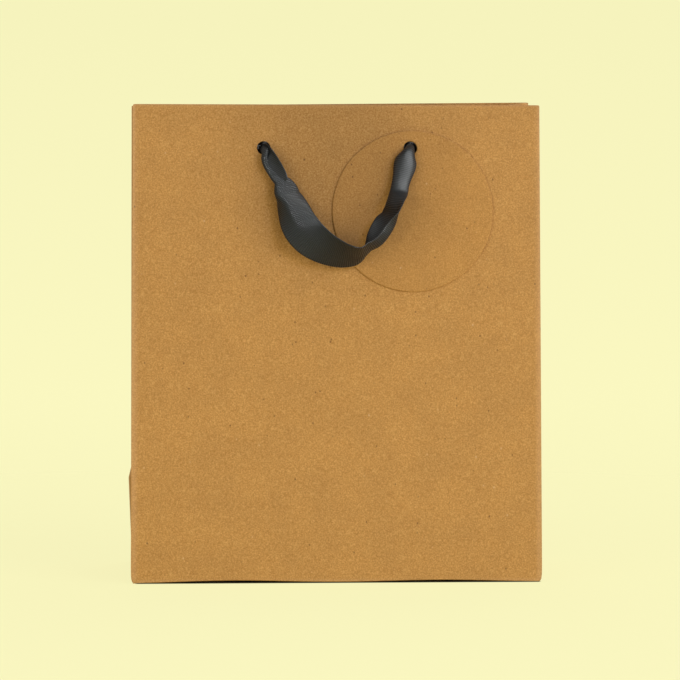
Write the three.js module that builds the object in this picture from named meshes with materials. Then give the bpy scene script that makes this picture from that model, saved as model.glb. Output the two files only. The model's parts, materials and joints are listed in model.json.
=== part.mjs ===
// Kraft-paper gift bag with ribbon handles and a round hanging tag.
// Millimetres, +Z up. The origin is the centre of the base's underside and the front faces -Y.
// The folded sheet is built as flat panels between its creases, each extruded outwards from the
// plane in which the creases lie, so that neighbours spread apart from their common crease.
import * as THREE from 'three';
import { mergeVertices } from 'three/addons/utils/BufferGeometryUtils.js';

// Folded sheet
const BAG_WIDTH = 215;
const PANEL_HEIGHT = 252;
const BASE_DEPTH = 102;
const MOUTH_DEPTH = 50;
const GUSSET_BULGE = 2;
const PAPER = 0.4;
const GAP = 0.3;
const CREASE_INSET = 0.3;
const VALLEY_INSET = 1.1;
const WALL_CREASE_INSET = 0.6;

// Base
const FLAP_OVERLAP = 20;
const SIDE_FLAP_LENGTH = 42;
const BOARD_THICKNESS = 1;
const BOARD_CLEARANCE = 1.5;

// Top edge and side seam
const HEM_DEPTH = 40;
const CARD_THICKNESS = 0.6;
const CARD_MARGIN = 3;
const CARD_SIDE_MARGIN = 10;
const SEAM_FLAP_WIDTH = 15;
const SEAM_FLAP_SETBACK = 2;

// Holes, ribbons and tag
const HOLE_RADIUS = 3.6;
const HOLE_SPACING = 77.5;
const HOLE_DROP = 23;
const RIBBON_WIDTH = 20;
const RIBBON_THICKNESS = 0.8;
const RIBBON_STANDOFF = 4.5;
const RIBBON_STEPS = 26;
const STUB_CLEARANCE = 0.6;
const STUB_LOBES = 5;
const KNOT_RADIUS = 5.5;
const KNOT_LENGTH = 8.4;
const TAG_RADIUS = 42.5;
const TAG_THICKNESS = 0.6;
const TAG_HOLE_INSET = 9;
const TAG_TILT = THREE.MathUtils.degToRad(2);

// Worked out from the sizes above
const HALF_WIDTH = BAG_WIDTH / 2;
const LEAN_IN = (BASE_DEPTH - MOUTH_DEPTH) / 2;
const RIM_HEIGHT = Math.sqrt(PANEL_HEIGHT ** 2 - LEAN_IN ** 2);
const HOLE_HEIGHT = PANEL_HEIGHT - HOLE_DROP;
const LAYER = PAPER + GAP;
const CARD_OFFSET = -(GAP + CARD_THICKNESS);
const HEM_OFFSET = CARD_OFFSET - GAP - PAPER;
const CORNER_ANGLE = Math.asin(MOUTH_DEPTH / BASE_DEPTH);
const HEM_SETBACK = (LAYER - HEM_OFFSET + 2 * GAP) / Math.tan(CORNER_ANGLE);
const TAG_OFFSET = PAPER + GAP;
const RIBBON_OFFSET = PAPER + RIBBON_STANDOFF;

const kraft = () => new THREE.MeshStandardMaterial({ color: 0xbe8f50, roughness: 0.85, metalness: 0 });
const board = () => new THREE.MeshStandardMaterial({ color: 0xa9957a, roughness: 0.9, metalness: 0 });
const ribbon = () => new THREE.MeshStandardMaterial({ color: 0x26292a, roughness: 0.6, metalness: 0 });
const tagCard = () => new THREE.MeshStandardMaterial({ color: 0xc08d4c, roughness: 0.8, metalness: 0 });

const bag = new THREE.Group();

function addMesh(name, geometry, material, matrix) {
  const bare = geometry.clone();
  bare.deleteAttribute('normal');
  bare.deleteAttribute('uv');
  const mesh = new THREE.Mesh(mergeVertices(bare, 1e-5), material);
  mesh.name = name;
  if (matrix) matrix.decompose(mesh.position, mesh.quaternion, mesh.scale);
  bag.add(mesh);
  return mesh;
}

// A plane through a polygon's corners: its local x runs along the first edge, z along the outward side.
function planeOf(corners, outward) {
  const x = corners[1].clone().sub(corners[0]).normalize();
  const across = corners[corners.length - 1].clone().sub(corners[0]);
  const z = x.clone().cross(across).normalize();
  if (z.dot(outward) < 0) throw new Error('corners must run anticlockwise as seen from outside');
  const y = z.clone().cross(x);
  return new THREE.Matrix4().makeBasis(x, y, z).setPosition(corners[0]);
}

// Moves each edge of an anticlockwise outline inwards by its own distance.
function insetOutline(points, insets) {
  const lines = points.map((p, i) => {
    const q = points[(i + 1) % points.length];
    const along = q.clone().sub(p).normalize();
    const inwards = new THREE.Vector2(-along.y, along.x);
    return { start: p.clone().addScaledVector(inwards, insets[i]), along };
  });
  return lines.map((line, i) => {
    const before = lines[(i + lines.length - 1) % lines.length];
    const between = line.start.clone().sub(before.start);
    const reach = between.cross(line.along) / before.along.cross(line.along);
    return before.start.clone().addScaledVector(before.along, reach);
  });
}

function roundHole(x, y, radius) {
  return new THREE.Path().absarc(x, y, radius, 0, 2 * Math.PI, true);
}

// A flat panel of the sheet, from `offset` to `offset + thickness` outside the crease plane.
function addPanel(name, material, corners, outward, insets, options = {}) {
  const { offset = 0, thickness = PAPER, holes = [] } = options;
  const plane = planeOf(corners, outward);
  const toPlane = plane.clone().invert();
  const flat = corners.map((corner) => {
    const p = corner.clone().applyMatrix4(toPlane);
    return new THREE.Vector2(p.x, p.y);
  });
  const shape = new THREE.Shape(insetOutline(flat, insets));
  shape.holes = holes;
  const geometry = new THREE.ExtrudeGeometry(shape, {
    depth: thickness, bevelEnabled: false, curveSegments: 12,
  });
  geometry.translate(0, 0, offset);
  return addMesh(name, geometry, material, plane);
}

const vec = (x, y, z) => new THREE.Vector3(x, y, z);

// The wall on side -1 (front) or +1 (back). Corners run anticlockwise as seen from outside.
function wallCorners(side) {
  const start = side * HALF_WIDTH;
  return [
    vec(start, side * BASE_DEPTH / 2, 0),
    vec(-start, side * BASE_DEPTH / 2, 0),
    vec(-start, side * MOUTH_DEPTH / 2, RIM_HEIGHT),
    vec(start, side * MOUTH_DEPTH / 2, RIM_HEIGHT),
  ];
}

const wallPlane = (side) => planeOf(wallCorners(side), vec(0, side, 0));
const holeCentres = [-1, 1].map((s) => HALF_WIDTH + s * HOLE_SPACING / 2);
const wallHoles = (radius) => holeCentres.map((x) => roundHole(x, HOLE_HEIGHT, radius));

// A rectangle of a wall's plane, given by its span across and its span up from the base crease.
function wallPatch(side, left, right, low, high) {
  const plane = wallPlane(side);
  const spots = [[left, low], [right, low], [right, high], [left, high]];
  return spots.map(([x, y]) => vec(x, y, 0).applyMatrix4(plane));
}

function addWall(name, side) {
  const outward = vec(0, side, 0);
  const sheetEdges = [CREASE_INSET, CREASE_INSET, 0, CREASE_INSET];
  addPanel(`${name}_panel`, kraft(), wallCorners(side), outward, sheetEdges, {
    holes: wallHoles(HOLE_RADIUS),
  });

  const hemLow = PANEL_HEIGHT - HEM_DEPTH;
  const card = wallPatch(
    side, CARD_SIDE_MARGIN, BAG_WIDTH - CARD_SIDE_MARGIN, hemLow + CARD_MARGIN, PANEL_HEIGHT - CARD_MARGIN,
  );
  const cardHoles = holeCentres.map((x) => {
    return roundHole(x - CARD_SIDE_MARGIN, HOLE_HEIGHT - hemLow - CARD_MARGIN, HOLE_RADIUS);
  });
  addPanel(`${name}_reinforcement_card`, board(), card, outward, [0, 0, 0, 0], {
    offset: CARD_OFFSET, thickness: CARD_THICKNESS, holes: cardHoles,
  });

  const hem = wallPatch(side, HEM_SETBACK, BAG_WIDTH - HEM_SETBACK, hemLow, PANEL_HEIGHT);
  const hemHoles = holeCentres.map((x) => roundHole(x - HEM_SETBACK, HOLE_HEIGHT - hemLow, HOLE_RADIUS));
  addPanel(`${name}_hem`, kraft(), hem, outward, [0, 0, 0, 0], { offset: HEM_OFFSET, holes: hemHoles });
}

// The gusset's centre crease runs from the foot apex to the rim. Its top keeps the sheet's
// lengths: half the base depth to each rim corner, and the crease's own length to the foot apex.
function gussetApexes() {
  const foot = new THREE.Vector2(HALF_WIDTH + GUSSET_BULGE, BASE_DEPTH / 2);
  const rim = new THREE.Vector2(HALF_WIDTH, RIM_HEIGHT);
  const toRim = Math.sqrt((BASE_DEPTH / 2) ** 2 - (MOUTH_DEPTH / 2) ** 2);
  const toFoot = PANEL_HEIGHT - BASE_DEPTH / 2;
  const apart = rim.distanceTo(foot);
  const along = (toFoot ** 2 - toRim ** 2 + apart ** 2) / (2 * apart);
  const aside = Math.sqrt(toFoot ** 2 - along ** 2);
  const up = rim.clone().sub(foot).normalize();
  const inwards = new THREE.Vector2(-up.y, up.x);
  const top = foot.clone().addScaledVector(up, along).addScaledVector(inwards, aside);
  return { foot, top };
}

const { foot, top } = gussetApexes();

// Adds a flat facet whose corners may run either way round.
function addFacet(name, corners, outward, insets, options) {
  const toSecond = corners[1].clone().sub(corners[0]);
  const toLast = corners[corners.length - 1].clone().sub(corners[0]);
  if (toSecond.cross(toLast).dot(outward) > 0) {
    return addPanel(name, kraft(), corners, outward, insets, options);
  }
  const turnedInsets = [...insets.slice(0, -1).reverse(), insets[insets.length - 1]];
  return addPanel(name, kraft(), [...corners].reverse(), outward, turnedInsets, options);
}

// The five facets and two hem facets of the gusset on side -1 (left) or +1 (right).
function addGusset(name, side) {
  const outward = vec(side, 0, 0);
  const footApex = vec(side * foot.x, 0, foot.y);
  const topApex = vec(side * top.x, 0, top.y);
  const baseCorner = (half) => vec(side * HALF_WIDTH, half * BASE_DEPTH / 2, 0);
  const rimCorner = (half) => vec(side * HALF_WIDTH, half * MOUTH_DEPTH / 2, RIM_HEIGHT);
  const evenly = [CREASE_INSET, CREASE_INSET, CREASE_INSET];
  addFacet(`${name}_gusset_foot`, [baseCorner(-1), baseCorner(1), footApex], outward, evenly);

  for (const [label, half] of [['front', -1], ['back', 1]]) {
    const base = baseCorner(half);
    const rim = rimCorner(half);
    const lowerEdges = [VALLEY_INSET, VALLEY_INSET, CREASE_INSET];
    addFacet(`${name}_gusset_${label}_lower`, [base, topApex, footApex], outward, lowerEdges);
    const upperEdges = [WALL_CREASE_INSET, 0, VALLEY_INSET];
    addFacet(`${name}_gusset_${label}_upper`, [base, rim, topApex], outward, upperEdges);

    const share = HEM_DEPTH / PANEL_HEIGHT;
    const hemOuter = rim.clone().lerp(base, share);
    const hemInner = topApex.clone().lerp(base, share);
    const hemEdges = [HEM_SETBACK, 0, VALLEY_INSET, 0];
    addFacet(`${name}_gusset_${label}_hem`, [hemOuter, rim, topApex, hemInner], outward, hemEdges, {
      offset: -LAYER,
    });
  }
}

// Base flaps, from the underside up: the back flap, the front flap stepped over its edge, and the
// two side flaps. The base board lies on top of them.
function addBase() {
  const down = vec(0, 0, -1);
  const halfDepth = BASE_DEPTH / 2 - CREASE_INSET;
  const halfWidth = HALF_WIDTH - CREASE_INSET;
  const halfOverlap = FLAP_OVERLAP / 2;

  const backFlap = [
    vec(-halfWidth, -halfOverlap, PAPER),
    vec(-halfWidth, halfDepth, PAPER),
    vec(halfWidth, halfDepth, PAPER),
    vec(halfWidth, -halfOverlap, PAPER),
  ];
  addPanel('base_back_flap', kraft(), backFlap, down, [0, 0, 0, 0]);

  const stepOuter = -halfOverlap - 2 * GAP;
  const stepInner = stepOuter - LAYER;
  const profile = new THREE.Shape([
    new THREE.Vector2(-halfDepth, 0),
    new THREE.Vector2(stepInner, 0),
    new THREE.Vector2(stepOuter, LAYER),
    new THREE.Vector2(halfOverlap, LAYER),
    new THREE.Vector2(halfOverlap, LAYER + PAPER),
    new THREE.Vector2(stepOuter - GAP / 2, LAYER + PAPER),
    new THREE.Vector2(stepInner - GAP / 2, PAPER),
    new THREE.Vector2(-halfDepth, PAPER),
  ]);
  const frontFlap = new THREE.ExtrudeGeometry(profile, { depth: 2 * halfWidth, bevelEnabled: false });
  const alongX = new THREE.Matrix4().makeBasis(vec(0, 1, 0), vec(0, 0, 1), vec(1, 0, 0));
  addMesh('base_front_flap', frontFlap, kraft(), alongX.setPosition(-halfWidth, 0, 0));

  const tuckedDepth = halfDepth - CREASE_INSET;
  for (const side of [-1, 1]) {
    const far = tuckedDepth - SIDE_FLAP_LENGTH;
    const z = 2 * LAYER + PAPER;
    const wide = side * halfWidth;
    const narrow = side * (halfWidth - SIDE_FLAP_LENGTH);
    const flap = [
      vec(wide, side * tuckedDepth, z),
      vec(wide, -side * tuckedDepth, z),
      vec(narrow, -side * far, z),
      vec(narrow, side * far, z),
    ];
    const label = side < 0 ? 'left' : 'right';
    addPanel(`base_${label}_flap`, kraft(), flap, down, [0, 0, 0, 0]);
  }

  const boardLength = BAG_WIDTH - 2 * BOARD_CLEARANCE;
  const boardDepth = BASE_DEPTH - 2 * BOARD_CLEARANCE;
  const boardShape = new THREE.BoxGeometry(boardLength, boardDepth, BOARD_THICKNESS);
  const lift = new THREE.Matrix4().makeTranslation(0, 0, 3 * LAYER + BOARD_THICKNESS / 2);
  addMesh('base_board', boardShape, board(), lift);
}

// The sheet's side seam: a flap glued inside the back panel along its left edge.
function addSeamFlap() {
  const right = BAG_WIDTH - SEAM_FLAP_SETBACK;
  const low = 3 * LAYER + BOARD_THICKNESS + SEAM_FLAP_SETBACK;
  const high = PANEL_HEIGHT - HEM_DEPTH - GAP;
  const patch = wallPatch(1, right - SEAM_FLAP_WIDTH, right, low, high);
  addPanel('side_seam_flap', kraft(), patch, vec(0, 1, 0), [0, 0, 0, 0], { offset: -LAYER });
}

// The ribbon gathered lengthwise where it passes through its hole.
function bunchedSection(radius) {
  const spots = [];
  const count = STUB_LOBES * 4;
  for (let i = 0; i < count; i += 1) {
    const angle = i * 2 * Math.PI / count;
    const r = radius * (0.88 + 0.12 * Math.cos(STUB_LOBES * angle));
    spots.push(new THREE.Vector2(r * Math.cos(angle), r * Math.sin(angle)));
  }
  return new THREE.Shape(spots);
}

function addRibbonEnds(name, side) {
  const stubStart = HEM_OFFSET;
  const stubEnd = RIBBON_OFFSET - RIBBON_THICKNESS / 2 - GAP;
  const labels = side < 0 ? ['left', 'right'] : ['right', 'left'];
  holeCentres.forEach((x, i) => {
    const place = wallPlane(side).multiply(new THREE.Matrix4().makeTranslation(x, HOLE_HEIGHT, stubStart));
    const stub = new THREE.ExtrudeGeometry(bunchedSection(HOLE_RADIUS - STUB_CLEARANCE), {
      depth: stubEnd - stubStart, bevelEnabled: false,
    });
    addMesh(`${name}_ribbon_${labels[i]}_gather`, stub, ribbon(), place);

    const knotCentre = stubStart - GAP - KNOT_LENGTH / 2;
    const knot = new THREE.SphereGeometry(KNOT_RADIUS, 14, 10);
    knot.scale(1, KNOT_LENGTH / (2 * KNOT_RADIUS), 1);
    knot.rotateX(Math.PI / 2);
    const knotPlace = wallPlane(side).multiply(
      new THREE.Matrix4().makeTranslation(x, HOLE_HEIGHT, knotCentre),
    );
    addMesh(`${name}_ribbon_${labels[i]}_knot`, knot, ribbon(), knotPlace);
  });
}

// The handle's centreline in the wall's plane, from the left hole to the right one as seen from
// outside: distance across from the mid line, and distance down from the holes.
const HANDLE_ROUTE = [
  [-HOLE_SPACING / 2, 0],
  [-HOLE_SPACING / 2, 2.5],
  [-37.8, 5.8],
  [-35.8, 9.4],
  [-33, 13.2],
  [-30.2, 17.4],
  [-27.5, 22],
  [-25.2, 27],
  [-23.2, 33],
  [-20.4, 39.5],
  [-15.9, 46],
  [-9.5, 51.4],
  [-2.4, 55.2],
  [5, 57.2],
  [11.5, 56.4],
  [17.2, 53],
  [21.6, 47.8],
  [24.6, 42],
  [27.4, 36],
  [30.6, 30],
  [32.6, 24.5],
  [34.2, 18.5],
  [35.6, 13],
  [37.2, 8.4],
  [HOLE_SPACING / 2, 4],
  [HOLE_SPACING / 2, 0],
];

function addHandle(name, side) {
  const points = HANDLE_ROUTE.map(([x, y]) => vec(HALF_WIDTH + x, HOLE_HEIGHT - y, RIBBON_OFFSET));
  const route = new THREE.CatmullRomCurve3(points);
  const thick = RIBBON_THICKNESS / 2;
  const wide = RIBBON_WIDTH / 2;
  const section = new THREE.Shape([
    new THREE.Vector2(-thick, -wide),
    new THREE.Vector2(thick, -wide),
    new THREE.Vector2(thick, wide),
    new THREE.Vector2(-thick, wide),
  ]);
  const band = new THREE.ExtrudeGeometry(section, {
    steps: RIBBON_STEPS, bevelEnabled: false, extrudePath: route,
  });
  addMesh(`${name}_ribbon_handle`, band, ribbon(), wallPlane(side));
}

// The tag hangs by its hole from the front ribbon's right leg, flat against the front panel.
function addTag() {
  const disc = new THREE.Shape().absarc(0, TAG_HOLE_INSET - TAG_RADIUS, TAG_RADIUS, 0, 2 * Math.PI);
  disc.holes.push(roundHole(0, 0, HOLE_RADIUS));
  const geometry = new THREE.ExtrudeGeometry(disc, {
    depth: TAG_THICKNESS, bevelEnabled: false, curveSegments: 36,
  });
  const place = wallPlane(-1);
  place.multiply(new THREE.Matrix4().makeTranslation(holeCentres[1], HOLE_HEIGHT, TAG_OFFSET));
  place.multiply(new THREE.Matrix4().makeRotationZ(TAG_TILT));
  addMesh('gift_tag', geometry, tagCard(), place);
}

addWall('front', -1);
addWall('back', 1);
addGusset('left', -1);
addGusset('right', 1);
addBase();
addSeamFlap();
for (const [name, side] of [['front', -1], ['back', 1]]) {
  addRibbonEnds(name, side);
  addHandle(name, side);
}
addTag();

export default bag;
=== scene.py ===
"""Kraft-paper gift bag: the looks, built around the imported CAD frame."""
import json
import math

import bpy
import bmesh
import numpy as np
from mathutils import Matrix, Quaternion, Vector


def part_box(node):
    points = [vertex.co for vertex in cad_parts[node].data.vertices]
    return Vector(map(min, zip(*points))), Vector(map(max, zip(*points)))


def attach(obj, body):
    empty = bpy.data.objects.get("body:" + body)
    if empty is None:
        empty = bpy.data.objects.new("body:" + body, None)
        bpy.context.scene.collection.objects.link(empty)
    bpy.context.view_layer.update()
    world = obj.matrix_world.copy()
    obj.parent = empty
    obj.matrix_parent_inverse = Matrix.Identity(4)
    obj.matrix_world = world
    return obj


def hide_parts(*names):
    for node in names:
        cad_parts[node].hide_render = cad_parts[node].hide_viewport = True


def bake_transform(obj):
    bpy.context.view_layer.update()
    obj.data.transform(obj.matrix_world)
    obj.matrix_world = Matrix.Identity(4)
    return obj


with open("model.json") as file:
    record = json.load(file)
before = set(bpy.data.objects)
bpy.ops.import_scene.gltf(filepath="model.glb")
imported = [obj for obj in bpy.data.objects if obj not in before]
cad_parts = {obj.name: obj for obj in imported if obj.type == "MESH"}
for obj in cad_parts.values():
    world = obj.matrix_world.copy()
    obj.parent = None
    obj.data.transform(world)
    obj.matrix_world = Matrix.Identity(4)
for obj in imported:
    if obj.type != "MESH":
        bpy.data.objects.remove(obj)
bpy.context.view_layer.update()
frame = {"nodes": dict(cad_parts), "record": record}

MM = 0.001

# ---------------------------------------------------------------- sizes, in millimetres
front_high = np.array(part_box("front_panel")[1]) / MM
tag_joint = next(j for j in frame["record"]["behaviour"]["joints"] if j["name"] == "tag_swivel")
hole_spot = np.array(tag_joint["pos_m"]) / MM

PAPER = 0.4                     # the CAD panels' thickness; their outer faces are this far out
CREASE_INSET = 0.3              # the CAD panels stop this far short of the crease
HALF_WIDTH = front_high[0] + CREASE_INSET
HALF_MOUTH = -front_high[1]
RIM_HEIGHT = front_high[2]
LEAN = 26                       # how far each wall leans in between its base and its rim
HALF_DEPTH = HALF_MOUTH + LEAN
PANEL_HEIGHT = math.hypot(RIM_HEIGHT, LEAN)
FOOT_HEIGHT = HALF_DEPTH        # because the gusset's diagonal creases run at 45 degrees
BULGE = 2.0                     # how far the foot's peak stands out sideways
HALF_HOLES = hole_spot[0]
HOLE_DOWN = 23
HOLE_UP = PANEL_HEIGHT - HOLE_DOWN
HOLE_RADIUS = 3.6

SHEET = 0.3                     # thickness of the visible paper
HEM_OUT = -0.9                  # the turned-in hem's inner face, measured outwards
HEM_DEPTH = 40
FOLD_RADIUS = (PAPER - HEM_OUT) / 2
BASE_FOLD = 0.8                 # radius of the fold under each wall
BASE_LIP = 2.2                  # height of the first row above that fold
FLAP_REACH = 10                 # each base flap runs this far past the middle
FLAP_LAP = 0.42                 # the front flap lies this much higher, over the back one

WALL_COLUMNS = 39               # evenly spaced ones, besides those packed beside the creases
GUSSET_COLUMNS = 14
ROWS = 60
RIM_ROWS = (1.7, 0.7)           # extra rows this far below the rim fold, for a crisp edge
LEFT_SPREAD = 1.6               # how far the front wall's left crease stands out at the base
CORNER_TUCK = 1.2               # how far each base corner is rounded in
HOLLOW = 1.1                    # depth of each wall's hollow, at its deepest
PINCH_IN = 6.5                  # how far each gusset facet dents towards the inside
PINCH_APART = 2.6               # and towards its own wall

TAG_RADIUS = 42.5
TAG_OUT = 0.7
TAG_THICK = 0.6
TAG_HOLE_INSET = 9
TAG_TILT = math.radians(2)
TAG_SOFTEN = 0.14               # how far the die rounded its edges
TAG_SIDES = 160

HALF_RIBBON = 10
RIB_PITCH = 0.95


def unit(v):
    return v / np.linalg.norm(v)


# ---------------------------------------------------------------- mesh helpers
def new_object(name, points, faces, material):
    mesh = bpy.data.meshes.new(name)
    mesh.from_pydata([tuple(p * MM for p in point) for point in points], [], faces)
    mesh.materials.append(material)
    obj = bpy.data.objects.new(name, mesh)
    bpy.context.scene.collection.objects.link(obj)
    mesh.polygons.foreach_set("use_smooth", [True] * len(mesh.polygons))
    mesh.update()
    return obj


def merge(obj, distance=0.002):
    bm = bmesh.new()
    bm.from_mesh(obj.data)
    bmesh.ops.remove_doubles(bm, verts=bm.verts, dist=distance * MM)
    bm.to_mesh(obj.data)
    bm.free()


def apply_modifier(obj, kind, **settings):
    modifier = obj.modifiers.new(kind.title(), kind)
    for key, value in settings.items():
        setattr(modifier, key, value)
    with bpy.context.temp_override(object=obj, active_object=obj, selected_objects=[obj]):
        bpy.ops.object.modifier_apply(modifier=modifier.name)


class Sheet:
    """Collects grids of points into one mesh whose faces look outwards."""

    def __init__(self):
        self.points = []
        self.faces = []

    def grid(self, points, flip=False):
        points = np.asarray(points, float)
        rows, columns = points.shape[:2]
        start = len(self.points)
        self.points += [tuple(p) for p in points.reshape(-1, 3)]
        for i in range(rows - 1):
            for j in range(columns - 1):
                a = start + i * columns + j
                face = (a, a + 1, a + columns + 1, a + columns)
                self.faces.append(face[::-1] if flip else face)


# ---------------------------------------------------------------- the folded paper's surface
def arch(across):
    """Height of a wall's bottom edge above the floor: two shallow humps between its corners."""
    share = np.clip(np.abs(across) / HALF_WIDTH, 0, 1)
    humps = 0.3 + 0.7 * np.sin(math.pi * np.clip(across / HALF_WIDTH, -1, 1)) ** 2
    return (1.25 - 0.15 * across / HALF_WIDTH) * humps * (1 - share ** 12)


def wall_bow(across, up):
    """The wall's gentle hollow, deepest a third of the way up."""
    x = across / HALF_WIDTH
    y = up / PANEL_HEIGHT
    return -HOLLOW * (1 - x ** 2) * np.sin(math.pi * np.clip(y / 0.62, 0, 1)) ** 2


def rim_shift(side, x):
    """The back wall's rim stands a little askew."""
    return 0 if side < 0 else 0.2 + 1.15 * x / HALF_WIDTH


def wall_point(side, across, up, out=PAPER):
    """A point of the wall on side -1 (front) or +1 (back), seen from outside: across, up and out."""
    x = -side * across
    t = up / PANEL_HEIGHT
    out = out + wall_bow(across, up)
    corner = math.exp(-up / 1.6) * math.exp(-(HALF_WIDTH - abs(across)) / 1.2)
    x -= math.copysign(CORNER_TUCK * corner, x)
    if side < 0:
        x -= LEFT_SPREAD * (1 - t) * max(0, -x / HALF_WIDTH) ** 3
    y = HALF_DEPTH - LEAN * t - 0.5 * corner
    z = RIM_HEIGHT * t + rim_shift(side, x) * t ** 3
    y_out = RIM_HEIGHT / PANEL_HEIGHT * out
    z_out = LEAN / PANEL_HEIGHT * out
    lift = arch(across) * math.exp(-up / 6)
    return np.array([x, side * (y + y_out), z + z_out + lift])


def gusset_top():
    """Where the gusset's centre crease meets the rim: distance inwards and height."""
    reach = math.hypot(BULGE, RIM_HEIGHT - FOOT_HEIGHT)
    to_rim = math.sqrt(HALF_DEPTH ** 2 - HALF_MOUTH ** 2)
    to_foot = PANEL_HEIGHT - FOOT_HEIGHT
    along = (to_foot ** 2 - to_rim ** 2 + reach ** 2) / (2 * reach)
    aside = math.sqrt(to_foot ** 2 - along ** 2)
    up = unit(np.array([-BULGE, RIM_HEIGHT - FOOT_HEIGHT]))
    inward = np.array([-up[1], up[0]])
    return np.array([HALF_WIDTH + BULGE, FOOT_HEIGHT]) + up * along + inward * aside


GUSSET_TOP = gusset_top()
TOP_UP = PANEL_HEIGHT - FOLD_RADIUS
ROW_SHARES = [k / ROWS for k in range(ROWS)] + [1 - gap / TOP_UP for gap in RIM_ROWS] + [1]


def gusset_point(side, half, across, up):
    """A point of the gusset on side -1 (left) or +1 (right); half -1 is its front half.

    across runs from the wall's crease, 0, to the gusset's centre crease, HALF_DEPTH.
    """
    a = across / HALF_DEPTH

    def wall_edge(height):
        return wall_point(half, -half * side * HALF_WIDTH, height, 0)

    foot = np.array([side * (HALF_WIDTH + BULGE), 0, FOOT_HEIGHT])
    top = np.array([side * GUSSET_TOP[0], 0, GUSSET_TOP[1]])
    if up <= across:
        # the foot triangle, below the diagonal crease
        middle = np.array([side * HALF_WIDTH, 0, 0])
        corner = wall_edge(0)
        if across == 0:
            return corner
        share = up / across
        low = corner * (1 - a) + middle * a
        high = corner * (1 - a) + foot * a
        point = low * (1 - share) + high * share
        point[2] += 0.5 * (1 - share) * math.sin(math.pi * a / 2)
        return point
    b = (up - across) / (PANEL_HEIGHT - across)
    flat_up = b * PANEL_HEIGHT
    left = wall_edge(flat_up)
    centre = foot * (1 - b) + top * b
    point = left * (1 - a) + centre * a
    pinch = 16 * a * (1 - a) * b * (1 - b)
    point[0] -= side * PINCH_IN * pinch
    point[1] += half * PINCH_APART * pinch
    return point


def gusset_columns():
    """Columns across half a gusset, from its wall crease to its centre crease."""
    return np.linspace(0, HALF_DEPTH, GUSSET_COLUMNS + 1)


def wall_columns():
    """Columns across a wall, packed near its creases."""
    inner = np.linspace(-1, 1, WALL_COLUMNS) * (HALF_WIDTH - 3.6)
    near = HALF_WIDTH - np.array([1.6, 0.6, 0])
    return np.concatenate([-near[::-1], inner, near])


def rim_loop(up):
    """The outline at one height, as segments of points that run round the bag."""
    plan = [(None, -1), (1, -1), (1, 1), (None, 1), (-1, 1), (-1, -1)]
    segments = []
    for side, half in plan:
        if side is None:
            points = [wall_point(half, across, up, 0) for across in wall_columns()]
        else:
            points = [gusset_point(side, half, across, up) for across in gusset_columns()]
            if side == half:
                points = points[::-1]
        segments.append(np.array(points))
    return segments


def offset_loop(segments, offset):
    """Moves each segment sideways by offset, positive inwards, with mitred corners."""
    starts = [unit((points[1] - points[0]) * (1, 1, 0)) for points in segments]
    ends = [unit((points[-1] - points[-2]) * (1, 1, 0)) for points in segments]

    def mitre(before, after):
        turn = math.atan2(np.cross(before, after)[2], float(np.dot(before, after)))
        return offset * math.tan(turn / 2)

    moved = []
    for k, points in enumerate(segments):
        at_start = mitre(ends[k - 1], starts[k])
        at_end = mitre(ends[k], starts[(k + 1) % len(segments)])
        steps = np.linalg.norm(np.diff(points, axis=0), axis=1)
        run = np.concatenate([[0], np.cumsum(steps)])
        row = []
        for p, tangent, s in zip(points, np.gradient(points, axis=0), run):
            t = unit(tangent * (1, 1, 0))
            inward = np.array([-t[1], t[0], 0])
            along = at_start * math.exp(-s / 9) - at_end * math.exp(-(run[-1] - s) / 9)
            row.append(p + inward * offset + t * along)
        moved.append(np.array(row))
    return moved


def wall_rows(side):
    """A wall's rows of points: its base flap, the fold under it, and the wall up to the rim fold."""
    columns = wall_columns()
    rows = []
    for k in range(8, 0, -1):
        reach = (HALF_DEPTH + FLAP_REACH) * k / 8
        lap = FLAP_LAP / (1 + math.exp(-(reach - HALF_DEPTH + 12) * 2)) if side < 0 else 0
        row = [wall_point(side, x, 0) + (0, -side * (BASE_FOLD + reach * 0.985), lap) for x in columns]
        for p in row:
            p[0] *= 1 - 0.003 * min(reach, 2)
        rows.append(row)
    for k in range(4):
        turn = math.pi / 2 * (1 - k / 4)
        tuck = (0, -side * BASE_FOLD * (1 - math.cos(turn)), BASE_FOLD * (1 - math.sin(turn)))
        rows.append([wall_point(side, x, 0) + tuck for x in columns])
    for up in [BASE_FOLD, BASE_LIP] + [TOP_UP * share for share in ROW_SHARES[1:]]:
        rows.append([wall_point(side, x, up) for x in columns])
    return rows


def hem_rows():
    """The rim fold and the turned-in hem, as rows of points for each segment of the outline."""
    outline = rim_loop(TOP_UP)
    segments = [[] for _ in outline]
    for k in range(9):
        turn = math.pi * k / 8
        inwards = 1 - math.copysign(abs(math.cos(turn)) ** 0.55, math.cos(turn))
        lift = (0, 0, FOLD_RADIUS * math.sin(turn) ** 0.55)
        for rows, points in zip(segments, offset_loop(outline, FOLD_RADIUS * inwards)):
            rows.append(points + lift)
    for depth in np.linspace(0, HEM_DEPTH, 11)[1:]:
        for rows, points in zip(segments, offset_loop(rim_loop(TOP_UP - depth), 2 * FOLD_RADIUS)):
            rows.append(points)
    return segments


def paper_shell():
    """The whole folded sheet: walls with base flaps, gussets, rim fold and hem."""
    sheet = Sheet()
    for side in (-1, 1):
        sheet.grid(wall_rows(side))
    columns = gusset_columns()
    for side in (-1, 1):
        for half in (-1, 1):
            flip = side == half
            foot = [[gusset_point(side, half, a, a * k / 12) for a in columns] for k in range(13)]
            sheet.grid(foot, flip)
            upper = [
                [gusset_point(side, half, a, a + (TOP_UP - a) * share + 1e-9) for a in columns]
                for share in ROW_SHARES
            ]
            sheet.grid(upper, flip)
    for rows in hem_rows():
        sheet.grid(rows)
    return sheet


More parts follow.
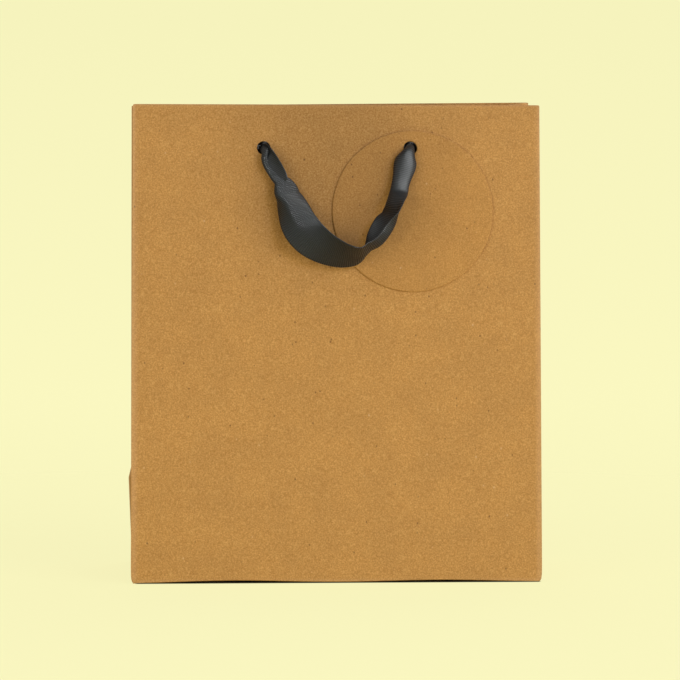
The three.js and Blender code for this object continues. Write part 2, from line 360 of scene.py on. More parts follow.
# ---------------------------------------------------------------- materials
def srgb(r, g, b):
    def linear(c):
        c /= 255
        return c / 12.92 if c <= 0.04045 else ((c + 0.055) / 1.055) ** 2.4
    return (linear(r), linear(g), linear(b), 1)


class Nodes:
    """A material's node tree, with short calls to add and link nodes."""

    def __init__(self, name, roughness):
        self.material = bpy.data.materials.new(name)
        self.material.use_nodes = True
        self.tree = self.material.node_tree
        self.shader = self.tree.nodes["Principled BSDF"]
        self.shader.inputs["Roughness"].default_value = roughness

    def add(self, kind, **settings):
        node = self.tree.nodes.new(kind)
        for key, value in settings.items():
            setattr(node, key, value)
        return node

    def link(self, source, target):
        self.tree.links.new(source, target)

    def noise(self, vector, scale, detail=4, rough=0.6):
        node = self.add("ShaderNodeTexNoise")
        node.inputs["Scale"].default_value = scale
        node.inputs["Detail"].default_value = detail
        node.inputs["Roughness"].default_value = rough
        self.link(vector, node.inputs["Vector"])
        return node.outputs["Fac"]

    def ramp(self, source, stops):
        node = self.add("ShaderNodeValToRGB")
        elements = node.color_ramp.elements
        while len(elements) < len(stops):
            elements.new(0.5)
        for element, (position, colour) in zip(elements, stops):
            element.position = position
            element.color = colour
        self.link(source, node.inputs["Fac"])
        return node.outputs["Color"]

    def mix(self, factor, a, b, blend="MIX"):
        node = self.add("ShaderNodeMix", data_type="RGBA", blend_type=blend)
        for socket, value in zip((0, 6, 7), (factor, a, b)):
            if hasattr(value, "is_linked"):
                self.link(value, node.inputs[socket])
            else:
                node.inputs[socket].default_value = value
        return node.outputs[2]

    def math(self, operation, a, b=0.0):
        node = self.add("ShaderNodeMath", operation=operation)
        for socket, value in zip((0, 1), (a, b)):
            if hasattr(value, "is_linked"):
                self.link(value, node.inputs[socket])
            else:
                node.inputs[socket].default_value = value
        return node.outputs[0]

    def bump(self, height, strength, distance):
        node = self.add("ShaderNodeBump")
        node.inputs["Strength"].default_value = strength
        node.inputs["Distance"].default_value = distance
        self.link(height, node.inputs["Height"])
        self.link(node.outputs["Normal"], self.shader.inputs["Normal"])

    def stretched(self, vector, scale):
        node = self.add("ShaderNodeMapping")
        node.inputs["Scale"].default_value = scale
        self.link(vector, node.inputs["Vector"])
        return node.outputs["Vector"]

    def spread(self, source, span, onto, kind="LINEAR"):
        """Maps the range span onto the range onto, and holds its ends beyond it."""
        node = self.add("ShaderNodeMapRange", interpolation_type=kind)
        for socket, value in zip(("From Min", "From Max", "To Min", "To Max"), span + onto):
            node.inputs[socket].default_value = value
        self.link(source, node.inputs["Value"])
        return node.outputs["Result"]

    def object_place(self):
        return self.add("ShaderNodeTexCoord").outputs["Object"]


def grey(value):
    return (value, value, value, 1)


PAINTED_SHADE_DOWN = 31               # the middle of the painted shade round the handle, below the rim
PAINTED_SHADE_SPAN = (0.008, 0.088)   # and how far it reaches, from full to none, in metres
PAINTED_SHADE_TONE = 0.74


def kraft_material(name, base, dark, light, grain=1.0):
    """Uncoated kraft: mottled pulp, fibres, flecks, worn folds with a painted highlight, and painted shade
    round the handle.

    That painted shade stands in for the ribbon's soft shadow on the paper, and is fitted to the
    photograph's front wall.
    """
    n = Nodes(name, 0.82)
    n.shader.inputs["Specular IOR Level"].default_value = 0.25
    place = n.object_place()
    mottle = n.noise(place, 1250 * grain, 5, 0.72)
    cloud = n.noise(place, 60 * grain, 3, 0.5)
    fibres = n.noise(n.stretched(place, (1, 1, 0.28)), 1700 * grain, 3, 0.6)
    colour = n.ramp(mottle, [(0.38, dark), (0.52, base), (0.66, light)])
    warm = n.ramp(cloud, [(0.35, grey(0.955)), (0.65, grey(1.03))])
    colour = n.mix(1.0, colour, warm, "MULTIPLY")
    strands = n.ramp(fibres, [(0.3, grey(0.93)), (0.55, grey(1.0)), (0.75, grey(1.06))])
    colour = n.mix(0.8, colour, strands, "MULTIPLY")
    flecks = n.add("ShaderNodeTexVoronoi")
    flecks.inputs["Scale"].default_value = 260 * grain
    n.link(n.stretched(place, (1, 1, 0.7)), flecks.inputs["Vector"])
    choose = n.noise(place, 150 * grain, 1, 0.5)
    near = n.ramp(flecks.outputs["Distance"], [(0.06, grey(1)), (0.15, grey(0))])
    dark_pick = n.ramp(choose, [(0.57, grey(0)), (0.61, grey(0.8))])
    pale_pick = n.ramp(choose, [(0.31, grey(0.6)), (0.35, grey(0))])
    colour = n.mix(n.math("MULTIPLY", near, dark_pick), colour, srgb(112, 72, 32))
    colour = n.mix(n.math("MULTIPLY", near, pale_pick), colour, srgb(226, 190, 138))
    # painted shade: the paper is darkened round the handle's middle, standing in for the ribbon's soft
    # shadow
    from_handle = n.add("ShaderNodeVectorMath", operation="DISTANCE")
    n.link(n.stretched(place, (1, 0, 1)), from_handle.inputs[0])
    from_handle.inputs[1].default_value = (0, 0, (RIM_HEIGHT - PAINTED_SHADE_DOWN) * MM)
    painted_shade = n.spread(from_handle.outputs["Value"], PAINTED_SHADE_SPAN, (PAINTED_SHADE_TONE, 1), "SMOOTHSTEP")
    colour = n.mix(1.0, colour, painted_shade, "MULTIPLY")
    # worn folds and a painted highlight along them: the colour turns paler near each fold
    fold = n.add("ShaderNodeAttribute", attribute_name="fold").outputs["Fac"]
    colour = n.mix(n.math("MULTIPLY", fold, 0.45), colour, srgb(236, 190, 146))
    n.link(colour, n.shader.inputs["Base Color"])
    rough = n.ramp(mottle, [(0.3, grey(0.76)), (0.7, grey(0.9))])
    n.link(rough, n.shader.inputs["Roughness"])
    height = n.math("ADD", mottle, n.math("MULTIPLY", fibres, 0.7))
    n.bump(height, 0.22, 0.00012)
    return n.material


def board_material():
    """Grey-brown recycled board with layered fibres."""
    n = Nodes("grey_board", 0.92)
    place = n.object_place()
    pulp = n.noise(place, 700, 5, 0.7)
    tones = (0.3, srgb(128, 114, 92)), (0.55, srgb(158, 145, 122)), (0.75, srgb(182, 170, 148))
    colour = n.ramp(pulp, tones)
    n.link(colour, n.shader.inputs["Base Color"])
    n.bump(pulp, 0.3, 0.0002)
    return n.material


def ribbon_material():
    """Charcoal grosgrain: cross ribs along the length, painted darker in their troughs and lighter on
    their crests, and a plain selvedge at each edge.
    """
    n = Nodes("grosgrain", 0.4)
    n.shader.inputs["Specular IOR Level"].default_value = 0.6
    n.shader.inputs["Sheen Weight"].default_value = 0.06
    n.shader.inputs["Sheen Roughness"].default_value = 0.3
    uv = n.add("ShaderNodeUVMap", uv_map="weave").outputs["UV"]
    split = n.add("ShaderNodeSeparateXYZ")
    n.link(uv, split.inputs[0])
    along, across = split.outputs["X"], split.outputs["Y"]
    rib = n.math("SINE", n.math("MULTIPLY", along, 2 * math.pi / (RIB_PITCH * MM)))
    crest = n.math("ADD", n.math("MULTIPLY", rib, 0.5), 0.5)
    threads = n.math("SINE", n.math("MULTIPLY", across, 2 * math.pi / (0.32 * MM)))
    weave = n.math("ADD", n.math("MULTIPLY", threads, 0.5), 0.5)
    # painted shade in the rib troughs and a painted highlight on the rib crests
    colour = n.ramp(crest, [(0.0, srgb(2, 3, 4)), (0.45, srgb(9, 12, 15)), (1.0, srgb(20, 28, 34))])
    edge = n.math("DIVIDE", n.math("ABSOLUTE", across), HALF_RIBBON * MM)
    selvedge = n.ramp(edge, [(0.90, grey(0)), (0.915, grey(1)), (0.93, grey(1)), (0.945, grey(0))])
    colour = n.mix(n.math("MULTIPLY", selvedge, 0.7), colour, srgb(5, 5, 6))
    lint = n.ramp(n.noise(n.object_place(), 1500, 3, 0.6), [(0.35, grey(0.85)), (0.65, grey(1.15))])
    colour = n.mix(1.0, colour, lint, "MULTIPLY")
    n.link(colour, n.shader.inputs["Base Color"])
    rough = n.ramp(crest, [(0.0, grey(0.7)), (1.0, grey(0.28))])
    n.link(rough, n.shader.inputs["Roughness"])
    height = n.math("ADD", crest, n.math("MULTIPLY", n.math("MULTIPLY", weave, crest), 0.35))
    n.bump(height, 0.7, 0.00016)
    return n.material


kraft = kraft_material("kraft_paper", srgb(200, 147, 77), srgb(179, 125, 58), srgb(218, 168, 99))
tag_kraft = kraft_material("kraft_card", srgb(198, 144, 72), srgb(180, 125, 57), srgb(214, 162, 91), 1.06)
grey_board = board_material()
grosgrain = ribbon_material()


# ---------------------------------------------------------------- paper body
PAPER_NODES = ["front_panel", "back_panel", "front_hem", "back_hem", "side_seam_flap"]
PAPER_NODES += ["base_front_flap", "base_back_flap"]
for gusset in ("left", "right"):
    PAPER_NODES.append(f"{gusset}_gusset_foot")
    for half in ("front", "back"):
        PAPER_NODES += [f"{gusset}_gusset_{half}_{piece}" for piece in ("lower", "upper", "hem")]


def hole_cutter():
    """Rods through both walls at the punched holes, used only to cut."""
    bm = bmesh.new()
    for side in (-1, 1):
        for spot in (-HALF_HOLES, HALF_HOLES):
            inner = wall_point(side, spot, HOLE_UP, -6)
            outer = wall_point(side, spot, HOLE_UP, 6)
            axis = Vector(unit(outer - inner))
            radius = HOLE_RADIUS * MM
            made = bmesh.ops.create_cone(
                bm, cap_ends=True, segments=40, radius1=radius, radius2=radius, depth=12 * MM,
            )
            turn = axis.to_track_quat("Z", "Y").to_matrix()
            bmesh.ops.rotate(bm, verts=made["verts"], cent=(0, 0, 0), matrix=turn)
            bmesh.ops.translate(bm, verts=made["verts"], vec=Vector((inner + outer) / 2 * MM))
    mesh = bpy.data.meshes.new("cutter")
    bm.to_mesh(mesh)
    bm.free()
    cutter = bpy.data.objects.new("cutter", mesh)
    bpy.context.scene.collection.objects.link(cutter)
    return cutter


def punch(obj, cutter):
    """Cuts the ribbon's holes."""
    apply_modifier(obj, "BOOLEAN", operation="DIFFERENCE", solver="EXACT", object=cutter)


def crease_lines():
    """The sheet's folded edges: two end points in millimetres, and how much paler each is painted, for
    wear and a painted highlight together.
    """
    lines = []
    for side in (-1, 1):
        foot = np.array([side * (HALF_WIDTH + BULGE), 0, FOOT_HEIGHT])
        top = np.array([side * GUSSET_TOP[0], 0, GUSSET_TOP[1]])
        lines.append((foot, top, 1.0))
        for half in (-1, 1):
            base = wall_point(half, -half * side * HALF_WIDTH, 0, 0)
            rim = wall_point(half, -half * side * HALF_WIDTH, PANEL_HEIGHT, 0)
            lines += [(base, rim, 0.75), (base, foot, 1.0), (rim, top, 0.3)]
            lines += [(base, base * (1, 0, 1), 1.0), (base, base * (0, 1, 1), 1.0)]
    for half in (-1, 1):
        rim = wall_point(half, HALF_WIDTH, PANEL_HEIGHT, 0)
        lines.append((rim, rim * (-1, 1, 1), 0.3))
    return lines


def mark_folds(obj):
    """Writes how much paler each vertex is painted, for wear and a painted fold highlight together, from
    how near it is to the folded edges.
    """
    count = len(obj.data.vertices)
    spots = np.empty(3 * count)
    obj.data.vertices.foreach_get("co", spots)
    spots = spots.reshape(-1, 3) / MM
    wear_and_fold_highlight = np.zeros(count)
    for start, end, amount in crease_lines():
        along = end - start
        share = np.clip((spots - start) @ along / (along @ along), 0, 1)
        away = np.linalg.norm(spots - start - share[:, None] * along, axis=1)
        wear_and_fold_highlight = np.maximum(wear_and_fold_highlight, amount * np.exp(-((away / 1.25) ** 2)))
    layer = obj.data.attributes.new("fold", "FLOAT", "POINT")
    layer.data.foreach_set("value", wear_and_fold_highlight)


def build_body(cutter):
    """The bag's paper as one folded, punched shell."""
    sheet = paper_shell()
    body = new_object("paper_body", sheet.points, sheet.faces, kraft)
    merge(body, 0.02)
    apply_modifier(body, "SOLIDIFY", thickness=SHEET * MM, offset=-1, use_even_offset=False)
    punch(body, cutter)
    body.data.set_sharp_from_angle(angle=math.radians(28))
    mark_folds(body)
    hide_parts(*PAPER_NODES)
    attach(body, "bag")


def build_card(name, side, cutter):
    """The reinforcement card between a wall and its hem."""
    low, high = PANEL_HEIGHT - HEM_DEPTH + 3, PANEL_HEIGHT - 3
    half = HALF_WIDTH - 10
    sheet = Sheet()
    rows = [
        [wall_point(side, across, up, 0.02) for across in np.linspace(-half, half, 31)]
        for up in np.linspace(low, high, 9)
    ]
    sheet.grid(rows)
    card = new_object(f"{name}_card", sheet.points, sheet.faces, grey_board)
    apply_modifier(card, "SOLIDIFY", thickness=0.45 * MM, offset=-1)
    punch(card, cutter)
    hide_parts(f"{name}_reinforcement_card")
    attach(card, "bag")


# ---------------------------------------------------------------- tag
def build_tag():
    """A die-cut disc with softened edges, hung from the right-hand hole."""
    centre = np.array([0, TAG_HOLE_INSET - TAG_RADIUS])
    shares = [0, 0.004, 0.02, *np.linspace(0.08, 0.92, 14), 0.99, 0.998, 1]
    drops = {0: TAG_SOFTEN, 0.004: 0.05, 0.998: 0.05, 1: TAG_SOFTEN}
    angles = [2 * math.pi * k / TAG_SIDES for k in range(TAG_SIDES + 1)]

    def place(angle, share, out):
        """A point between the hole's edge, share 0, and the disc's rim, share 1."""
        direction = np.array([math.cos(angle), math.sin(angle)])
        x, y = direction * HOLE_RADIUS * (1 - share) + (centre + direction * TAG_RADIUS) * share
        across = x * math.cos(TAG_TILT) - y * math.sin(TAG_TILT)
        up = x * math.sin(TAG_TILT) + y * math.cos(TAG_TILT)
        return wall_flat(-1, HALF_HOLES + across, HOLE_UP + up, out)

    face = []
    back = []
    for share in shares:
        drop = drops.get(share, 0)
        face.append([place(angle, share, TAG_OUT + TAG_THICK - drop) for angle in angles])
        back.append([place(angle, share, TAG_OUT + drop * 0.6) for angle in angles])
    sheet = Sheet()
    sheet.grid(face + back[::-1] + face[:1], True)
    tag = new_object("round_tag", sheet.points, sheet.faces, tag_kraft)
    merge(tag)
    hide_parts("gift_tag")
    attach(tag, "tag")


def wall_flat(side, across, up, out):
    """As wall_point, on the wall's flat plane."""
    t = up / PANEL_HEIGHT
    y = HALF_DEPTH - LEAN * t + RIM_HEIGHT / PANEL_HEIGHT * out
    z = RIM_HEIGHT * t + LEAN / PANEL_HEIGHT * out
    return np.array([-side * across, side * y, z])


# ---------------------------------------------------------------- ribbon handles
# Stations along a handle, seen from outside, in millimetres and degrees: across from the middle,
# down from the holes and out from the wall; the direction of the band's two parts, from its outer
# edge and to its inner edge; where across the band, -1 to 1, the fold between the parts runs; its
# lengthwise curl; and how far it is bunched. At direction 0 its face looks outwards, at 180 its back.
STATIONS = [
    (-38.75, 0.0, -6.4, 180, 90, 0.0, -115, 0.56),
    (-38.75, 0.0, 0.0, 180, 90, 0.0, -115, 0.58),
    (-38.1, 1.0, 3.0, 185, 70, 0.1, -92, 0.68),
    (-36.9, 4.6, 4.5, 188, 40, 0.42, -46, 0.66),
    (-34.9, 8.6, 4.6, 188, 24, 0.56, -44, 0.66),
    (-32.6, 12.6, 4.7, 186, 12, 0.46, -40, 0.68),
    (-30.5, 16.4, 4.8, 182, 2, 0.16, -34, 0.80),
    (-28.6, 20.0, 4.9, 160, -6, -0.30, -32, 0.94),
    (-27.2, 23.4, 5.2, 90, -14, -0.44, -38, 1.00),
    (-26.0, 26.6, 6.0, 44, -20, -0.34, -36, 1.00),
    (-24.9, 29.8, 7.0, 28, -20, -0.24, -32, 1.00),
    (-22.8, 35.9, 8.6, 20, -14, -0.16, -22, 1.00),
    (-20.0, 42.3, 9.8, 10, -2, -0.10, -12, 1.00),
    (-15.2, 48.2, 10.8, 20, 16, -0.10, -6, 1.00),
    (-9.4, 52.6, 11.6, 32, 32, -0.10, 0, 1.00),
    (-2.9, 55.8, 12.0, 45, 45, -0.30, 0, 1.00),
    (4.0, 57.8, 12.2, 56, 56, -0.60, 0, 1.00),
    (9.6, 57.6, 12.4, 71, 66, -0.60, 0, 1.00),
    (13.9, 55.3, 12.6, 102, 74, -0.40, -4, 1.00),
    (17.2, 51.5, 12.6, 128, 68, 0.05, -12, 1.00),
    (20.2, 47.1, 12.4, 142, 56, 0.30, -18, 1.00),
    (22.9, 42.6, 12.2, 144, 46, 0.38, -18, 1.00),
    (25.2, 38.4, 12.0, 136, 56, 0.44, -10, 1.00),
    (27.2, 34.8, 11.6, 123, 80, 0.52, 6, 1.00),
    (29.1, 31.2, 10.6, 114, 106, 0.60, 26, 1.00),
    (30.7, 27.8, 8.0, 117, 120, 0.60, 66, 0.94),
    (31.9, 24.3, 5.3, 129, 129, 0.60, 92, 0.86),
    (32.9, 20.4, 4.6, 140, 140, 0.60, 104, 0.84),
    (34.4, 14.6, 4.5, 152, 152, 0.60, 92, 0.86),
    (35.8, 9.0, 4.4, 162, 162, 0.60, 78, 0.86),
    (37.0, 4.8, 4.3, 170, 170, 0.60, 88, 0.76),
    (38.2, 1.4, 3.0, 178, 178, 0.60, 128, 0.62),
    (38.75, 0.0, 0.0, 180, 180, 0.60, 150, 0.56),
    (38.75, 0.0, -6.4, 180, 180, 0.60, 150, 0.56),
]
RIBBON_SHEET = 0.34             # thickness of the visible band
RIB_HEIGHT = 0.06
SAMPLES_PER_RIB = 5
ACROSS_STEPS = 28
FOLD_WIDTH = 0.24               # share of the half-width that the lengthwise fold takes
FLAT_ROOM = 5.0                 # the band's depth beside the tag, meant to keep the band clear of it
KNOT_RADIUS = 5.2
KNOT_OUT = HEM_OUT - 5.2        # the knot's middle, behind the hem
KNOT_STEPS = 120
TUBE_SIDES = 12
TAIL_STEPS = 40
TAIL_COLUMNS = 9


def smooth_path(stations, spacing):
    """A smooth curve through all the stations' values, sampled evenly by length."""
    values = np.array(stations, float)
    gaps = np.linalg.norm(np.diff(values[:, :3], axis=0), axis=1)
    knots = np.concatenate([[0], np.cumsum(gaps)])
    slopes = np.gradient(values, knots, axis=0)
    fine = np.linspace(0, knots[-1], 6000)
    k = np.clip(np.searchsorted(knots, fine, side="right") - 1, 0, len(knots) - 2)
    span = (knots[k + 1] - knots[k])[:, None]
    t = ((fine - knots[k]) / span[:, 0])[:, None]
    curve = (
        (2 * t ** 3 - 3 * t ** 2 + 1) * values[k] + (t ** 3 - 2 * t ** 2 + t) * span * slopes[k]
        + (3 * t ** 2 - 2 * t ** 3) * values[k + 1] + (t ** 3 - t ** 2) * span * slopes[k + 1]
    )
    for _ in range(2):
        kernel = np.hanning(241)
        kernel /= kernel.sum()
        padded = np.pad(curve, ((120, 120), (0, 0)), mode="reflect", reflect_type="odd")
        curve = np.stack([np.convolve(column, kernel, "valid") for column in padded.T], axis=1)
    steps = np.linalg.norm(np.diff(curve[:, :3], axis=0), axis=1)
    run = np.concatenate([[0], np.cumsum(steps)])
    even = np.linspace(0, run[-1], int(run[-1] / spacing) + 1)
    return np.stack([np.interp(even, run, column) for column in curve.T], axis=1), even


def carried_frames(centres, start):
    """Normals carried along the curve without twist from index start, where they look outwards."""
    tangents = np.gradient(centres, axis=0)
    tangents /= np.linalg.norm(tangents, axis=1)[:, None]
    normals = np.zeros_like(centres)
    outward = np.array([0, 0, 1.0])
    normals[start] = unit(outward - tangents[start] * np.dot(outward, tangents[start]))
    for order in (range(start + 1, len(centres)), range(start - 1, -1, -1)):
        last = normals[start]
        for i in order:
            last = unit(last - tangents[i] * np.dot(last, tangents[i]))
            normals[i] = last
    return tangents, normals


def section(back, lip, fold, curl, bunch):
    """The band's cross-section at one place: across, out and the face's direction at each point."""
    fine = np.linspace(-1, 1, 10 * ACROSS_STEPS + 1)
    turned = 0.5 + 0.5 * np.sin(np.clip((fine - fold) / FOLD_WIDTH, -1, 1) * math.pi / 2)
    angles = np.radians(back + (lip - back) * turned + curl * fine)
    step = HALF_RIBBON * bunch * (fine[1] - fine[0])
    x = np.concatenate([[0], np.cumsum((np.cos(angles[1:]) + np.cos(angles[:-1])) / 2 * step)])
    n = np.concatenate([[0], np.cumsum((np.sin(angles[1:]) + np.sin(angles[:-1])) / 2 * step)])
    x -= (x.min() + x.max()) / 2
    n -= (n.min() + n.max()) / 2
    return x[::10], n[::10], angles[::10]


def ribbon_points(stations):
    """The ribbon's middle surface in the wall's own directions: across, up, out."""
    values, run = smooth_path(stations, RIB_PITCH / SAMPLES_PER_RIB)
    centres = np.stack([values[:, 0], -values[:, 1], values[:, 2]], axis=1)
    tangents, normals = carried_frames(centres, int(len(centres) * 0.5))
    sides = np.cross(normals, tangents)
    shares = np.linspace(-1, 1, ACROSS_STEPS + 1)
    body = np.abs(shares) < 0.94
    rows = []
    for i, centre in enumerate(centres):
        x, n, angles = section(*values[i, 3:])
        room = FLAT_ROOM + 2.9 * math.log1p(math.exp((values[i, 1] - 25.8) / 1.5))
        n *= min(1, room / max(np.ptp(n), 0.1))
        pucker = 0.16 * np.sin(run[i] / 3.1 + 2.6 * shares) * np.sin(run[i] / 7.3 - 1.4 * shares)
        wave = RIB_HEIGHT * math.sin(2 * math.pi * run[i] / RIB_PITCH) * body + pucker
        x = x - np.sin(angles) * wave
        n = n + np.cos(angles) * wave
        rows.append(centre + x[:, None] * sides[i] + n[:, None] * normals[i])
    return np.array(rows), centres, run


def lay_weave(obj, columns, along):
    """Gives a mesh made of rows its place in the weave, in metres along and across the band."""
    layer = obj.data.uv_layers.new(name="weave")
    for loop in obj.data.loops:
        row, column = divmod(loop.vertex_index, columns)
        across = (2 * column / (columns - 1) - 1) * HALF_RIBBON
        layer.data[loop.index].uv = (along(row) * MM, across * MM)


def build_ribbon(name, side, stations):
    """One wall's handle, with its ends through the holes."""

    def on_wall(p):
        return wall_flat(side, p[0], HOLE_UP + p[1], PAPER + p[2])

    rows, centres, run = ribbon_points(stations)
    sheet = Sheet()
    sheet.grid([[on_wall(p) for p in row] for row in rows])
    band = new_object(f"{name}_ribbon", sheet.points, sheet.faces, grosgrain)
    lay_weave(band, rows.shape[1], lambda row: run[row])
    apply_modifier(band, "SOLIDIFY", thickness=RIBBON_SHEET * MM, offset=0)
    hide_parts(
        f"{name}_ribbon_handle", f"{name}_ribbon_left_gather", f"{name}_ribbon_right_gather",
    )

    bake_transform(band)


def trefoil(t):
    """The knot's path, about its own middle."""
    ring = (2 + math.cos(3 * t)) * KNOT_RADIUS / 3.35
    return np.array([ring * math.cos(2 * t), ring * math.sin(2 * t), 2.1 * math.sin(3 * t)])


def knot_rows():
    """The band wound along the knot's path, as a flattened tube."""
    rows = []
    for i in range(KNOT_STEPS + 1):
        t = 2 * math.pi * i / KNOT_STEPS
        centre = trefoil(t)
        tangent = unit(trefoil(t + 1e-3) - trefoil(t - 1e-3))
        outward = unit(centre * (1, 1, 0.4))
        normal = unit(outward - tangent * np.dot(outward, tangent))
        width = np.cross(tangent, normal)
        angles = [2 * math.pi * k / TUBE_SIDES for k in range(TUBE_SIDES + 1)]
        rows.append([centre + width * 1.9 * math.cos(a) + normal * 0.85 * math.sin(a) for a in angles])
    return rows


def core_rows():
    """The knot's lumpy middle, which fills what the wound band leaves open."""
    rows = []
    for i in range(13):
        rise = math.pi * (i / 12 - 0.5)
        ring = []
        for k in range(25):
            a = 2 * math.pi * k / 24
            r = 4.1 * math.cos(rise) * (1 + 0.1 * math.cos(5 * a))
            ring.append((r * math.cos(a), r * math.sin(a), 2.9 * math.sin(rise)))
        rows.append(ring)
    return rows


def tail_rows():
    """The ribbon's short cut end, hanging below the knot."""
    rows = []
    for i in range(TAIL_STEPS):
        s = i / (TAIL_STEPS - 1)
        half = 5.2 * (0.55 + 0.45 * min(1, s * 3))
        row = []
        for share in np.linspace(-1, 1, TAIL_COLUMNS):
            down = 2 + 21 * s - 3.0 * share * s ** 6
            out = 0.6 - 1.4 * math.sin(s * 2.6) + 1.3 * (1 - s) * share ** 2 - 1.0 * s
            row.append((half * share + 2.5 * s, -down, out))
        rows.append(row)
    return rows


def build_knot(name, label, side, spot):
    """The ribbon's stopper knot inside the bag, and its tail."""

    def behind(rows):
        """Places rows of across, up and out about the knot's middle, behind the hem."""
        moved = []
        for row in rows:
            moved.append([wall_flat(side, spot + x, HOLE_UP + y, KNOT_OUT + out) for x, y, out in row])
        return moved

    tail_sheet = Sheet()
    tail_sheet.grid(behind(tail_rows()))
    tail = new_object(f"{name}_ribbon_{label}_tail", tail_sheet.points, tail_sheet.faces, grosgrain)
    knot_sheet = Sheet()
    knot_sheet.grid(behind(knot_rows()))
    knot_sheet.grid(behind(core_rows()), True)
    knot = new_object(f"{name}_ribbon_{label}_tied", knot_sheet.points, knot_sheet.faces, grosgrain)
    merge(knot, 0.01)
    lay_weave(tail, TAIL_COLUMNS, lambda row: row * 0.5)
    lay_weave(knot, TUBE_SIDES + 1, lambda row: row * 0.5)
    apply_modifier(tail, "SOLIDIFY", thickness=RIBBON_SHEET * MM, offset=0)
    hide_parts(f"{name}_ribbon_{label}_knot")
    for obj in (tail, knot):
        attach(obj, "bag")


# ---------------------------------------------------------------- stage, light and camera, in metres
LIGHT_AIM = Vector((0, 0, 0.12))
CAMERA_PLACE = (-0.1375, -2.0618, 0.2546)
CAMERA_ANGLES = (3.92, 3.6, 0.19)   # yaw, pitch and roll, in degrees
CAMERA_LENS = 204.3                 # in millimetres on a 36 mm sensor


def build_stage():
    """A pale floor that glows, except under the bag and in a thin band along its front and back, a painted
    contact shadow; it fades into the room behind it.
    """
    n = Nodes("pale_floor", 1.0)
    n.shader.inputs["Specular IOR Level"].default_value = 0
    n.shader.inputs["Base Color"].default_value = srgb(112, 110, 86)
    n.shader.inputs["Emission Color"].default_value = srgb(247, 244, 190)
    split = n.add("ShaderNodeSeparateXYZ")
    n.link(n.object_place(), split.inputs[0])
    reach = n.math("ADD", n.math("POWER", split.outputs["X"], 2), n.math("POWER", split.outputs["Y"], 2))
    aside = n.math("SUBTRACT", n.math("ABSOLUTE", split.outputs["X"]), (HALF_WIDTH - 1.5) * MM)
    ahead = n.math("SUBTRACT", n.math("ABSOLUTE", split.outputs["Y"]), HALF_DEPTH * MM)
    # painted contact shadow: no glow under the bag, fading in over a thin band just beyond its front and
    # back
    glow_outside_painted_shadow = n.spread(n.math("MAXIMUM", aside, ahead), (-0.0002, 0.0012), (0, 0.91))
    seen = n.add("ShaderNodeLightPath").outputs["Is Camera Ray"]
    share = n.math("ADD", n.math("MULTIPLY", seen, 0.35), 0.65)
    n.link(n.math("MULTIPLY", glow_outside_painted_shadow, share), n.shader.inputs["Emission Strength"])
    fade = n.spread(n.math("SQRT", reach), (0.05, 1.4), (1, 0), "SMOOTHERSTEP")
    clear = n.add("ShaderNodeBsdfTransparent")
    blend = n.add("ShaderNodeMixShader")
    n.link(fade, blend.inputs[0])
    n.link(clear.outputs[0], blend.inputs[1])
    n.link(n.shader.outputs[0], blend.inputs[2])
    n.link(blend.outputs[0], n.tree.nodes["Material Output"].inputs["Surface"])

    bm = bmesh.new()
    bmesh.ops.create_circle(bm, cap_ends=True, segments=96, radius=1.5)
    mesh = bpy.data.meshes.new("floor")
    bm.to_mesh(mesh)
    bm.free()
    mesh.materials.append(n.material)
    floor = bpy.data.objects.new("floor", mesh)
    bpy.context.scene.collection.objects.link(floor)


def build_world():
    """Shows a pale room with a slight gradient, and lights the bag more softly than it looks."""
    world = bpy.data.worlds.new("pale_room")
    bpy.context.scene.world = world
    world.use_nodes = True
    tree = world.node_tree
    direction = tree.nodes.new("ShaderNodeTexCoord").outputs["Generated"]
    split = tree.nodes.new("ShaderNodeSeparateXYZ")
    tree.links.new(direction, split.inputs[0])
    height = tree.nodes.new("ShaderNodeMapRange")
    height.inputs["From Min"].default_value = -0.11
    height.inputs["From Max"].default_value = 0.02
    tree.links.new(split.outputs["Z"], height.inputs["Value"])
    tint = tree.nodes.new("ShaderNodeValToRGB")
    tint.color_ramp.elements[0].color = srgb(252, 249, 194)
    tint.color_ramp.elements[1].color = srgb(246, 243, 189)
    tree.links.new(height.outputs[0], tint.inputs["Fac"])
    seen = tree.nodes["Background"]
    tree.links.new(tint.outputs["Color"], seen.inputs["Color"])
    lit = tree.nodes.new("ShaderNodeBackground")
    lit.inputs["Color"].default_value = (1, 0.97, 0.9, 1)
    lit.inputs["Strength"].default_value = 0.30
    path = tree.nodes.new("ShaderNodeLightPath")
    mix = tree.nodes.new("ShaderNodeMixShader")
    tree.links.new(path.outputs["Is Camera Ray"], mix.inputs["Fac"])
    tree.links.new(lit.outputs[0], mix.inputs[1])
    tree.links.new(seen.outputs[0], mix.inputs[2])
    tree.links.new(mix.outputs[0], tree.nodes["World Output"].inputs["Surface"])


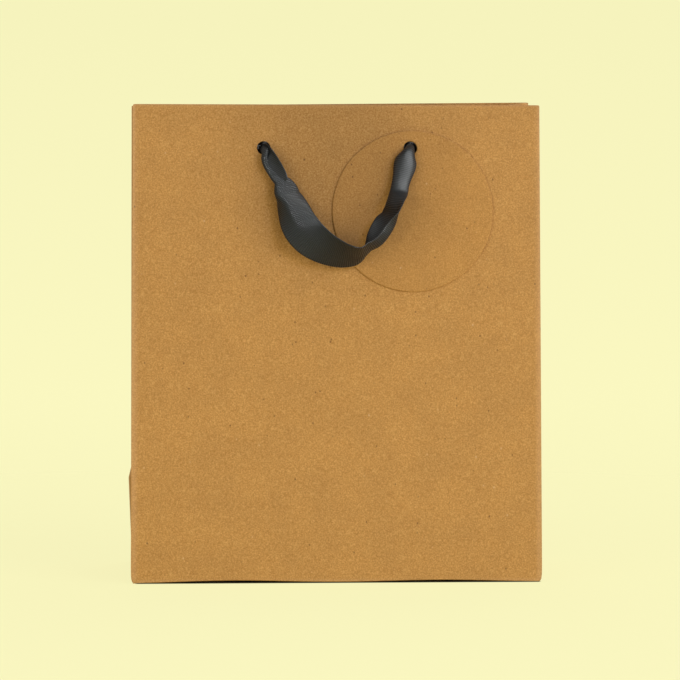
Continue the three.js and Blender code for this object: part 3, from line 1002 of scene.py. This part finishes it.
def area_light(name, place, size, power, colour=(1, 1, 1), diffuse=True):
    """A square light aimed at the bag's middle; without diffuse it only gives highlights."""
    data = bpy.data.lights.new(name, "AREA")
    data.size = size
    data.energy = power
    data.color = colour
    light = bpy.data.objects.new(name, data)
    bpy.context.scene.collection.objects.link(light)
    light.location = place
    light.rotation_mode = "QUATERNION"
    light.rotation_quaternion = (LIGHT_AIM - Vector(place)).to_track_quat("-Z", "Y")
    light.visible_diffuse = diffuse


def build_camera():
    """The photograph's viewpoint, fitted to the wall's corners, holes, tag and gusset foot."""
    data = bpy.data.cameras.new("camera")
    data.lens = CAMERA_LENS
    data.sensor_width = 36
    data.clip_end = 20
    camera = bpy.data.objects.new("camera", data)
    bpy.context.scene.collection.objects.link(camera)
    yaw, pitch, roll = (math.radians(angle) for angle in CAMERA_ANGLES)
    camera.location = CAMERA_PLACE
    forward = Vector((math.sin(yaw) * math.cos(pitch), math.cos(yaw) * math.cos(pitch), -math.sin(pitch)))
    camera.rotation_mode = "QUATERNION"
    camera.rotation_quaternion = forward.to_track_quat("-Z", "Y") @ Quaternion((0, 0, 1), roll)
    bpy.context.scene.camera = camera


# ---------------------------------------------------------------- the scene, camera and cords first
build_camera()
for name, side in (("front", -1), ("back", 1)):
    build_ribbon(name, side, STATIONS)
    for label, spot in (("left", -HALF_HOLES), ("right", HALF_HOLES)):
        build_knot(name, label, side, spot if side < 0 else -spot)

cutter = hole_cutter()
build_body(cutter)
build_card("front", -1, cutter)
build_card("back", 1, cutter)
bpy.data.objects.remove(cutter)
build_tag()
for node in ("base_board", "base_left_flap", "base_right_flap"):
    finish = grey_board if node == "base_board" else kraft
    frame["nodes"][node].data.materials.clear()
    frame["nodes"][node].data.materials.append(finish)

build_stage()
build_world()
area_light("key", (1.45, -1.5, 0.7), 2.0, 28, (1, 0.98, 0.95))
area_light("fill", (-1.5, -1.6, 0.5), 1.4, 11, (1, 0.98, 0.95))
area_light("sheen", (0.95, -1.35, 0.95), 0.45, 46, (0.92, 0.97, 1), False)
area_light("top", (0.2, 0.9, 1.5), 1.0, 5)
bpy.context.scene.view_settings.view_transform = "Standard"
